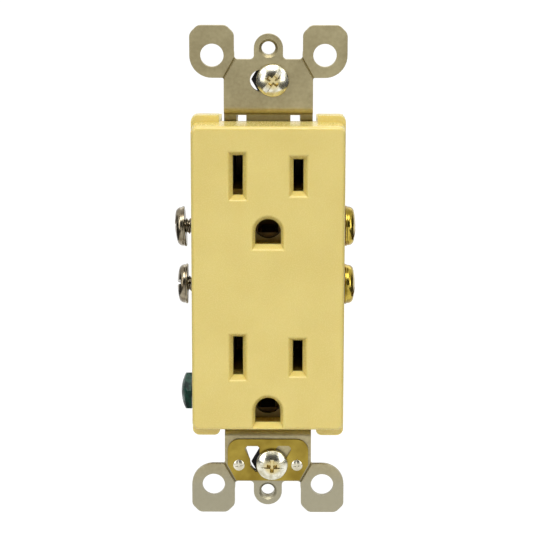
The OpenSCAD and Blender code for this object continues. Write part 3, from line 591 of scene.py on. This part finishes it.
def add_shank(head, length):
    """Adds a rolled thread, from z = 0 down to a short bevelled tip, to a head."""
    mesh = bmesh.new()
    steps = 28
    turns = int(length / THREAD_PITCH) + 2
    low = -turns * THREAD_PITCH
    ridge = [mesh.verts.new((radius, 0, low + share * THREAD_PITCH)) for radius, share in (
        (THREAD_ROOT_R, 0.0), (THREAD_ROOT_R, 0.16), (THREAD_R, 0.5), (THREAD_R, 0.62),
        (THREAD_ROOT_R, 1.0))]
    edges = [mesh.edges.new(pair) for pair in zip(ridge, ridge[1:])]
    bmesh.ops.spin(mesh, geom=ridge + edges, cent=(0, 0, 0), axis=(0, 0, 1),
                   dvec=(0, 0, THREAD_PITCH / steps), angle=math.tau * (turns + 1),
                   steps=steps * (turns + 1), use_merge=False)
    bmesh.ops.remove_doubles(mesh, verts=mesh.verts, dist=0.004 * MM)
    for height, side in ((0.05 * MM, 1), (0.5 * MM - length, -1)):
        bmesh.ops.bisect_plane(mesh, geom=mesh.verts[:] + mesh.edges[:] + mesh.faces[:],
                               plane_co=(0, 0, height), plane_no=(0, 0, side),
                               clear_outer=True)
        rim = [edge for edge in mesh.edges if edge.is_boundary
               and all(abs(vert.co.z - height) < 0.001 * MM for vert in edge.verts)]
        bmesh.ops.holes_fill(mesh, edges=rim)
    tip = bmesh.ops.create_cone(mesh, cap_ends=True, segments=32, radius1=THREAD_ROOT_R * 0.72,
                                radius2=THREAD_ROOT_R * 0.99, depth=0.6 * MM)
    bmesh.ops.translate(mesh, verts=tip["verts"], vec=(0, 0, 0.3 * MM - length))
    bmesh.ops.recalc_face_normals(mesh, faces=mesh.faces)
    absorb(head, mesh)


def turned_head(mesh, outline):
    """Closed head turned from a half outline of (radius, height) points."""
    verts = [mesh.verts.new((radius, 0, height)) for radius, height in outline]
    edges = [mesh.edges.new(pair) for pair in zip(verts, verts[1:])]
    bmesh.ops.spin(mesh, geom=verts + edges, cent=(0, 0, 0), axis=(0, 0, 1),
                   angle=math.tau, steps=64, use_merge=True)
    bmesh.ops.remove_doubles(mesh, verts=mesh.verts, dist=0.002 * MM)


def dome_outline(radius, height, edge, dome, flange=0.0):
    """Half outline of a domed head: flat underside, rounded rim and a shallow crown."""
    crown = height - dome
    rim_z = crown + math.sqrt(dome ** 2 - (radius - edge * 0.55) ** 2) - edge * 0.45
    points = [(0, 0), (radius - 0.12 * MM, 0), (radius, 0.12 * MM)]
    if flange:
        points += [(radius, 0.42 * MM), (radius - flange, 0.55 * MM)]
    points.append((radius - flange, rim_z - edge * 0.5))
    centre = (radius - flange - edge, rim_z - edge * 0.5)
    for step in range(1, 7):
        angle = math.radians(step * 62 / 6)
        points.append((centre[0] + edge * math.cos(angle), centre[1] + edge * math.sin(angle)))
    last = points[-1][0]
    top = crown + math.sqrt(dome ** 2 - last ** 2)
    lift = points[-1][1] - top
    for step in range(1, 9):
        reach = last * (1 - step / 8)
        points.append((reach, crown + math.sqrt(dome ** 2 - reach ** 2) + lift * (1 - step / 8) ** 2))
    return points


def drive_cutters(reach, depth, top, cross, cross_depth):
    """Cutters of a straight slot and of a tapered cross recess, pointing down from the crown."""
    slot = bmesh.new()
    bmesh.ops.create_cube(slot, size=1, matrix=Matrix.Translation((0, 0, top))
                          @ Matrix.Diagonal((reach * 2, BLADE_W, depth * 2, 1)))
    cutters = [slot]
    for turn in (0, 90):
        arm = bmesh.new()
        bmesh.ops.create_cube(arm, size=1, matrix=Matrix.Rotation(math.radians(turn), 4, "Z")
                              @ Matrix.Translation((0, 0, top))
                              @ Matrix.Diagonal((cross, CROSS_ARM_W, cross_depth * 2, 1)))
        foot = [vert for vert in arm.verts if vert.co.z < top]
        bmesh.ops.scale(arm, vec=(0.4, 0.5, 1), verts=foot)
        cutters.append(arm)
    return cutters


def screw(node, outline, drive, turn, length, place, material):
    """Screw with its head's underside at the origin of place and its shank along -Z."""
    head = bmesh.new()
    turned_head(head, outline)
    head = combined(head, [(cutter, "DIFFERENCE") for cutter in drive])
    merged(head, 1)
    break_edges(head, 0.06 * MM, 40)
    bmesh.ops.rotate(head, verts=head.verts, cent=(0, 0, 0),
                     matrix=Matrix.Rotation(math.radians(turn), 3, "Z"))
    bmesh.ops.recalc_face_normals(head, faces=head.faces)
    add_shank(head, length)
    bmesh.ops.transform(head, matrix=place, verts=head.verts)
    piece = finished(head, node + "_turned", frame["nodes"][node]["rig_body"], [node])
    piece.data.materials.append(material)
    return piece


def at_side(side, z, gap):
    """Place of a screw that faces along X, its head's underside a gap off the side."""
    return (Matrix.Translation((side * (BODY_HALF_W + gap), TERMINAL_Y, z))
            @ Matrix.Rotation(math.radians(side * 90), 4, "Y"))


def bright_metal(name, pale, deep, roughness):
    """Barrel-polished plating: cloudy gloss, a faint brushed grain and small dings."""
    finish = Paint(name, Metallic=1.0)
    cloud = finish.spread(finish.noise(1.8 * MM, 3.0, shift=(5, 2, 1)), 0.35, 0.65)
    finish.set("Base Color", finish.mix(cloud, pale, deep))
    finish.set("Roughness", roughness + cloud * 0.1)
    dings = finish.spread(finish.noise(0.9 * MM, 1.0, shift=(1, 8, 2)), 0.62, 0.8)
    finish.relief(finish.noise(0.5 * MM, 2.0) * 0.3 - dings, 0.03 * MM, 0.6)
    return finish.material


screw_brass = bright_metal("screw_brass", tint(196, 172, 76), tint(140, 118, 40), 0.17)
screw_nickel = bright_metal("screw_nickel", tint(158, 148, 126), tint(104, 92, 72), 0.17)
HEAD_R = 4.4 * MM
HEAD_H = 2.35 * MM
SHANK_L = 6.5 * MM
DROOP = math.radians(-4)
terminal_outline = dome_outline(HEAD_R, HEAD_H, 1.3 * MM, 18 * MM, 0.16 * MM)
droop_about = Vector((-BODY_HALF_W + 0.45 * MM, TERMINAL_Y, TERMINAL_ZS[0]))
droop = (Matrix.Translation(droop_about) @ Matrix.Rotation(DROOP, 4, "Y")
         @ Matrix.Translation(-droop_about))
for node, place, turn, material, slot in (
        ("hot_upper_screw", at_side(1, TERMINAL_ZS[0], 0.3 * MM), -61, screw_brass, "brass"),
        ("hot_lower_screw", at_side(1, TERMINAL_ZS[1], 0.3 * MM), -67, screw_brass, "brass"),
        ("neutral_upper_screw", droop @ at_side(-1, TERMINAL_ZS[0], 1.75 * MM), -57,
         screw_nickel, "nickel_steel"),
        ("neutral_lower_screw", at_side(-1, TERMINAL_ZS[1], 1.3 * MM), -71,
         screw_nickel, "nickel_steel")):
    drive = drive_cutters(HEAD_R + 1 * MM, 0.85 * MM, HEAD_H, 4 * MM, 1.5 * MM)
    piece = screw(node, terminal_outline, drive, turn, SHANK_L, place, material)

# ---- Ground screw ----
# A hexagon-headed screw with a straight slot, coated green to mark it, in the strap's folded
# terminal wing.

GROUND_Z = -29.3 * MM
GROUND_FLATS = 7.9 * MM
GROUND_TURN = math.radians(15)
GROUND_SLOT_TURN = math.radians(40)
GROUND_SLOT_DEPTH = 0.85 * MM
GROUND_SHANK_L = 5.5 * MM


def ground_screw():
    corner_r = GROUND_FLATS / math.sqrt(3)
    head = bmesh.new()
    bmesh.ops.create_cone(head, cap_ends=True, segments=6, radius1=corner_r, radius2=corner_r,
                          depth=HEAD_H, matrix=Matrix.Translation((0, 0, HEAD_H / 2))
                          @ Matrix.Rotation(GROUND_TURN, 4, "Z"))
    crown = bmesh.new()
    turned_head(crown, dome_outline(corner_r + 0.1 * MM, HEAD_H, 0.6 * MM, 9 * MM))
    slot = bmesh.new()
    bmesh.ops.create_cube(slot, size=1, matrix=Matrix.Rotation(GROUND_SLOT_TURN, 4, "Z")
                          @ Matrix.Translation((0, 0, HEAD_H))
                          @ Matrix.Diagonal((12 * MM, BLADE_W, GROUND_SLOT_DEPTH * 2, 1)))
    result = combined(head, [(crown, "INTERSECT"), (slot, "DIFFERENCE")])
    merged(result, 1)
    break_edges(result, 0.12 * MM, 20)
    bmesh.ops.recalc_face_normals(result, faces=result.faces)
    add_shank(result, GROUND_SHANK_L)
    bmesh.ops.transform(result, matrix=at_side(-1, GROUND_Z, 0.6 * MM), verts=result.verts)
    return finished(result, "ground_screw_turned", "ground_screw", ["ground_screw"])


green = Paint("green_coat", Metallic=0.0, Coat_Roughness=0.12, Coat_Weight=0.05,
              Specular_IOR_Level=0.12)
patch = green.spread(green.noise(1.2 * MM, 3.0), 0.4, 0.62)
green.set("Base Color", green.mix(patch, tint(16, 72, 56), tint(6, 36, 30)))
green.set("Roughness", 0.22 + patch * 0.2)
green.relief(green.noise(0.6 * MM, 2.0), 0.03 * MM, 0.5)
ground = ground_screw()
ground.data.materials.append(green.material)

# ---- Retaining washers ----
# Six-sided washers of black fibre behind the strap. Each holds its box screw in the slot and
# lets it shift sideways.

fibre = Paint("black_fibre", Roughness=0.75)
weave = fibre.noise(0.35 * MM, 4.0)
fibre.set("Base Color", fibre.mix(weave, tint(22, 22, 26), tint(48, 46, 46)))
fibre.relief(weave, 0.03 * MM)
for height in ("upper", "lower"):
    washer = softened(f"{height}_screw_washer", f"{height}_fibre_washer", 0.08 * MM)
    washer.data.materials.append(fibre.material)

# ---- Clip rivets ----
# Two small zinc-plated rivets that hold the grounding clip. Their domed heads are marked with a
# cross.

CLIP_RIVET_R = 1.25 * MM
CLIP_RIVET_H = 0.55 * MM
CLIP_SHANK_R = 0.8 * MM
MARK_L = 1.9 * MM
MARK_W = 0.34 * MM
MARK_DEPTH = 0.25 * MM
FACE_OUT = Matrix.Rotation(math.radians(90), 4, "X")
low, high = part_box("clip_rivets")
shank_depth = high[1] - low[1] - CLIP_RIVET_H
rivets = bmesh.new()
for side in (-1, 1):
    head = bmesh.new()
    turned_head(head, dome_outline(CLIP_RIVET_R, CLIP_RIVET_H, 0.12 * MM, 2.4 * MM))
    marks = []
    for turn in (8, 98):
        mark = bmesh.new()
        bmesh.ops.create_cube(mark, size=1, matrix=Matrix.Rotation(math.radians(turn), 4, "Z")
                              @ Matrix.Translation((0, 0, CLIP_RIVET_H))
                              @ Matrix.Diagonal((MARK_L, MARK_W, MARK_DEPTH * 2, 1)))
        marks.append((mark, "DIFFERENCE"))
    head = combined(head, marks)
    bmesh.ops.create_cone(head, cap_ends=True, segments=32, radius1=CLIP_SHANK_R,
                          radius2=CLIP_SHANK_R, depth=shank_depth,
                          matrix=Matrix.Translation((0, 0, -shank_depth / 2)))
    bmesh.ops.transform(head, verts=head.verts, matrix=Matrix.Translation(
        (side * (high[0] - CLIP_RIVET_R), low[1] + CLIP_RIVET_H, (low[2] + high[2]) / 2))
        @ FACE_OUT)
    absorb(rivets, head)
rivets = finished(rivets, "clip_rivet_heads", "device", ["clip_rivets"])
rivets.data.materials.append(rolled_metal("rivet_zinc", tint(236, 232, 214), tint(196, 188, 160),
                                          0.24, (1, 1, 1)))

# ---- Box screws ----
# The two long zinc-plated screws that fix the device to the wall box, with domed heads that take
# a straight blade or a cross driver.

BOX_HEAD_R = 3.45 * MM
BOX_HEAD_H = 1.9 * MM
BOX_SCREW_X = 0.9 * MM
BOX_SHANK_L = 24 * MM
RECESS_TINT = tint(214, 198, 146)
RECESS_FROM_R = 1.2 * MM
RECESS_TO_R = 2.1 * MM


def driven_metal(name, z):
    """Bright zinc, yellower where the driver's recess keeps more of the passivate."""
    finish = Paint(name, Metallic=1.0)
    cloud = finish.spread(finish.noise(1.2 * MM, 3.0, shift=(5, 2, 1)), 0.35, 0.65)
    across = finish.place(0) - BOX_SCREW_X
    up = finish.place(2) - z
    reach = (across * across + up * up) ** 0.5
    colour = finish.mix(cloud, tint(234, 232, 216), tint(198, 192, 166))
    finish.set("Base Color", finish.mix(
        finish.spread(reach, RECESS_FROM_R, RECESS_TO_R), RECESS_TINT, colour))
    finish.set("Roughness", 0.17 + cloud * 0.1)
    finish.relief(finish.noise(0.5 * MM, 2.0), 0.02 * MM, 0.5)
    return finish.material


box_outline = dome_outline(BOX_HEAD_R, BOX_HEAD_H, 0.5 * MM, 5.4 * MM)
for node, seat, z, turn in (("upper_box_screw", 1.35 * MM, 41.77 * MM, 52),
                            ("lower_box_screw", 1.75 * MM, -42.12 * MM, -2)):
    place = Matrix.Translation((BOX_SCREW_X, -seat, z)) @ FACE_OUT
    drive = drive_cutters(BOX_HEAD_R + 1 * MM, 0.75 * MM, BOX_HEAD_H, 3.9 * MM, 1.7 * MM)
    piece = screw(node, box_outline, drive, turn, BOX_SHANK_L, place,
                  driven_metal(node + "_zinc", z))

# ---- Studio ----
# A pale floor under the lower ears, soft lamps, and black cards that keep parts of the white
# room out of what the metal mirrors.

FLOOR_Z = -53.25 * MM
FLOOR_GLOW = 1.12
FLOOR_WHITE_SHARE = 0.88
ROOM_LIGHT = 0.5


def seen_rays(tree):
    """Output that is 1 on camera, glossy and transmission rays and 0 on the others."""
    path = tree.nodes.new("ShaderNodeLightPath")
    seen = path.outputs["Is Camera Ray"]
    for name in ("Is Glossy Ray", "Is Transmission Ray"):
        either = tree.nodes.new("ShaderNodeMath")
        either.operation = "MAXIMUM"
        tree.links.new(seen, either.inputs[0])
        tree.links.new(path.outputs[name], either.inputs[1])
        seen = either.outputs[0]
    return seen


pale_floor = Paint("pale_floor", Roughness=0.9, Specular_IOR_Level=0.1)
speckle = pale_floor.noise(40 * MM, 2.0)
pale_floor.set("Base Color", pale_floor.mix(
    speckle, (0.84, 0.84, 0.84, 1), (0.87, 0.87, 0.87, 1)))
seen = Socket(pale_floor, seen_rays(pale_floor.tree))
shaded = Socket(pale_floor, pale_floor.shader.outputs[0])
white = pale_floor.node("Emission", None, {"Color": (1, 1, 1, 1), "Strength": FLOOR_GLOW})
blend = pale_floor.node("MixShader", None, {0: seen * FLOOR_WHITE_SHARE, 1: shaded, 2: white})
pale_floor.feed(pale_floor.tree.nodes["Material Output"].inputs["Surface"], blend)
plane = bmesh.new()
bmesh.ops.create_grid(plane, x_segments=1, y_segments=1, size=4)
bmesh.ops.translate(plane, verts=plane.verts, vec=(0, 0, FLOOR_Z))
floor = as_object(plane, "floor")
floor.data.materials.append(pale_floor.material)

world = bpy.data.worlds.new("studio")
bpy.context.scene.world = world
world.use_nodes = True
sky = world.node_tree.nodes["Background"]
sky.inputs["Color"].default_value = (1, 1, 1, 1)
strength = world.node_tree.nodes.new("ShaderNodeMapRange")
strength.inputs["To Min"].default_value = ROOM_LIGHT
strength.inputs["To Max"].default_value = 1.0
world.node_tree.links.new(seen_rays(world.node_tree), strength.inputs["Value"])
world.node_tree.links.new(strength.outputs[0], sky.inputs["Strength"])


def lamp(name, place, size, power):
    """Soft box that faces the middle of the part."""
    light = bpy.data.lights.new(name, "AREA")
    light.shape = "RECTANGLE"
    light.size, light.size_y = size
    light.energy = power
    made = bpy.data.objects.new(name, light)
    bpy.context.scene.collection.objects.link(made)
    made.location = place
    made.rotation_euler = Vector(place).to_track_quat("Z", "Y").to_euler()


lamp("key_lamp", (-0.03, -0.28, 0.6), (0.45, 0.3), 2.8)
lamp("left_lamp", (-0.35, -0.32, 0.18), (0.18, 0.42), 0.72)
lamp("right_lamp", (0.35, -0.32, 0.18), (0.18, 0.42), 0.72)
lamp("back_lamp", (0.1, 0.5, 0.4), (0.5, 0.3), 0.6)

flag_black = Paint("flag_black", Roughness=0.9)
flag_black.set("Base Color", flag_black.mix(flag_black.noise(30 * MM), (0.03, 0.03, 0.03, 1),
                                            (0.05, 0.05, 0.05, 1)))


def flag(name, place, size, turn, axis):
    """Black card that the camera itself doesn't see."""
    card = bmesh.new()
    bmesh.ops.create_grid(card, x_segments=1, y_segments=1, size=0.5)
    bmesh.ops.scale(card, vec=(size[0], size[1], 1), verts=card.verts)
    bmesh.ops.rotate(card, verts=card.verts, cent=(0, 0, 0),
                     matrix=Matrix.Rotation(math.radians(turn), 3, axis))
    bmesh.ops.translate(card, verts=card.verts, vec=place)
    made = as_object(card, name)
    made.data.materials.append(flag_black.material)
    made.visible_camera = False


flag("front_flag", (0, -0.8, 0.42), (1.8, 0.7), 90, "X")
for side in (-1, 1):
    flag(f"side_flag_{side + 1}", (side * 0.6, -0.1, 0.15), (0.4, 1.0), 90, "Y")
    flag(f"table_flag_{side + 1}", (side * 0.33, -0.1, -0.0525), (0.5, 0.5), 0, "X")

AZIMUTH = math.radians(0.425)
ELEVATION = math.radians(12.89)
ROLL = math.radians(0.062)
DISTANCE = 455.9 * MM
AIM = Vector((-0.356, 0, 1.589)) * MM
FOCAL_PIXELS = 2134.3
PICTURE_PIXELS = 533
back = Vector((math.sin(AZIMUTH) * math.cos(ELEVATION), -math.cos(AZIMUTH) * math.cos(ELEVATION),
               math.sin(ELEVATION)))
camera = bpy.data.objects.new("camera", bpy.data.cameras.new("camera"))
bpy.context.scene.collection.objects.link(camera)
camera.matrix_world = (Matrix.Translation(AIM + back * DISTANCE)
                       @ back.to_track_quat("Z", "Y").to_matrix().to_4x4()
                       @ Matrix.Rotation(ROLL, 4, "Z"))
camera.data.lens = FOCAL_PIXELS / PICTURE_PIXELS * camera.data.sensor_width
camera.data.clip_start = 0.01
bpy.context.scene.camera = camera
bpy.context.scene.view_settings.view_transform = "Standard"
